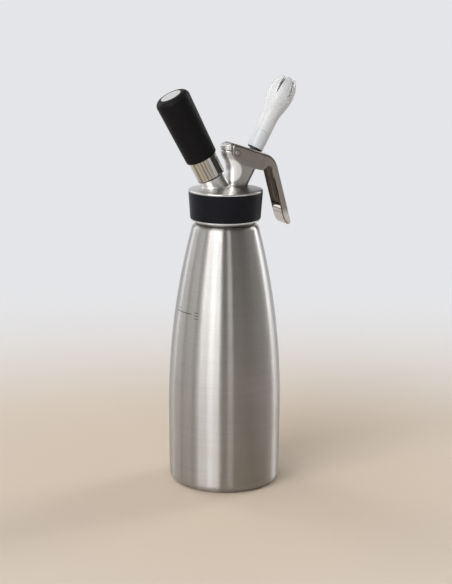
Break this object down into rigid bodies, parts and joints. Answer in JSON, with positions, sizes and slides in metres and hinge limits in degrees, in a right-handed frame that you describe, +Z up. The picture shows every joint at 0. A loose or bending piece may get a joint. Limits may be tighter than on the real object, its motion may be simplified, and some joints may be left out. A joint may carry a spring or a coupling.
{
  "type": "whipped cream dispenser",
  "caption": "Insulated steel bottle with a screw-on head, a squeeze lever over a sprung valve, a screwed tulip nozzle and a screwed holder for a gas charger.",
  "frame": {"origin": "centre of the bottle's base, on the surface it stands on", "axes": "+Z up along the bottle's axis, +X towards the lever and the nozzle, -X towards the charger holder; the part is symmetric about the XZ plane"},
  "size_m": [0.1243, 0.095, 0.344],
  "materials": {
    "brushed_steel": "brushed round the axis",
    "polished_steel": "polished",
    "cast_steel": "satin",
    "lever_steel": "satin",
    "chrome": "polished",
    "brass": "machined",
    "band_rubber": "satin",
    "grip_plastic": "soft touch",
    "soft_rubber": "matte",
    "collar_plastic": "satin",
    "tip_plastic": "satin"
  },
  "bodies": {
    "bottle": {"outer_shell": "brushed_steel", "inner_liner": "polished_steel", "neck_ring": "brushed_steel", "base_plate": "brushed_steel", "vacuum_seal": "brushed_steel"},
    "gasket": {"head_gasket": "soft_rubber"},
    "head": {"head_body": "cast_steel", "grip_band": "band_rubber", "lever_pin": "polished_steel", "valve_bush": "brass", "valve_seat": "brass", "check_valve": "soft_rubber", "piercing_insert": "brass", "piercing_pin": "polished_steel", "piercing_seal": "soft_rubber"},
    "lever": {"lever": "lever_steel"},
    "valve": {"valve_stem": "polished_steel", "valve_seal": "soft_rubber", "stem_o_ring": "soft_rubber", "stem_collar": "polished_steel", "valve_spring": "polished_steel"},
    "tip_washer": {"tip_washer": "soft_rubber"},
    "tip": {"nozzle_collar": "collar_plastic", "tulip_tip": "tip_plastic"},
    "charger": {"charger_bulb": "polished_steel", "charger_cap": "brass"},
    "holder": {"holder_sleeve": "chrome", "holder_grip": "grip_plastic", "end_disc": "chrome", "pressure_pad": "soft_rubber"}
  },
  "joints": [
    {"name": "head_lift", "type": "slide", "parent": "bottle", "child": "gasket", "axis": [0, 0, 1], "range_m": [0, 0.009]},
    {"name": "head_turn", "type": "hinge", "parent": "gasket", "child": "head", "pos_m": [0, 0, 0.236], "axis": [0, 0, 1], "range_deg": [0, 812]},
    {"name": "lever_pivot", "type": "hinge", "parent": "head", "child": "lever", "pos_m": [0.006, 0, 0.282], "axis": [0, 1, 0], "range_deg": [0, 10], "stiffness_Nm_per_rad": 1.5, "springref_deg": -20.05},
    {"name": "valve_stroke", "type": "slide", "parent": "head", "child": "valve", "axis": [0.4741, 0, 0.8805], "range_m": [-0.0031, 0], "deforming": ["valve_spring"]},
    {"name": "tip_lift", "type": "slide", "parent": "valve", "child": "tip_washer", "axis": [0.4741, 0, 0.8805], "range_m": [0, 0.007]},
    {"name": "tip_turn", "type": "hinge", "parent": "tip_washer", "child": "tip", "pos_m": [0.02845, 0, 0.28683], "axis": [0.4741, 0, 0.8805], "range_deg": [0, 1262]},
    {"name": "charger_lift", "type": "slide", "parent": "head", "child": "charger", "axis": [-0.4741, 0, 0.8805], "range_m": [0, 0.0075]},
    {"name": "holder_turn", "type": "hinge", "parent": "charger", "child": "holder", "pos_m": [-0.02845, 0, 0.29053], "axis": [-0.4741, 0, 0.8805], "range_deg": [0, 1082]}
  ],
  "couplings": [
    {"joint": "head_turn", "follows": "head_lift", "rad_per_m": 1570.8},
    {"joint": "valve_stroke", "follows": "lever_pivot", "m_per_rad": -0.01747},
    {"joint": "tip_turn", "follows": "tip_lift", "rad_per_m": 3141.6},
    {"joint": "holder_turn", "follows": "charger_lift", "rad_per_m": 2513.3}
  ]
}
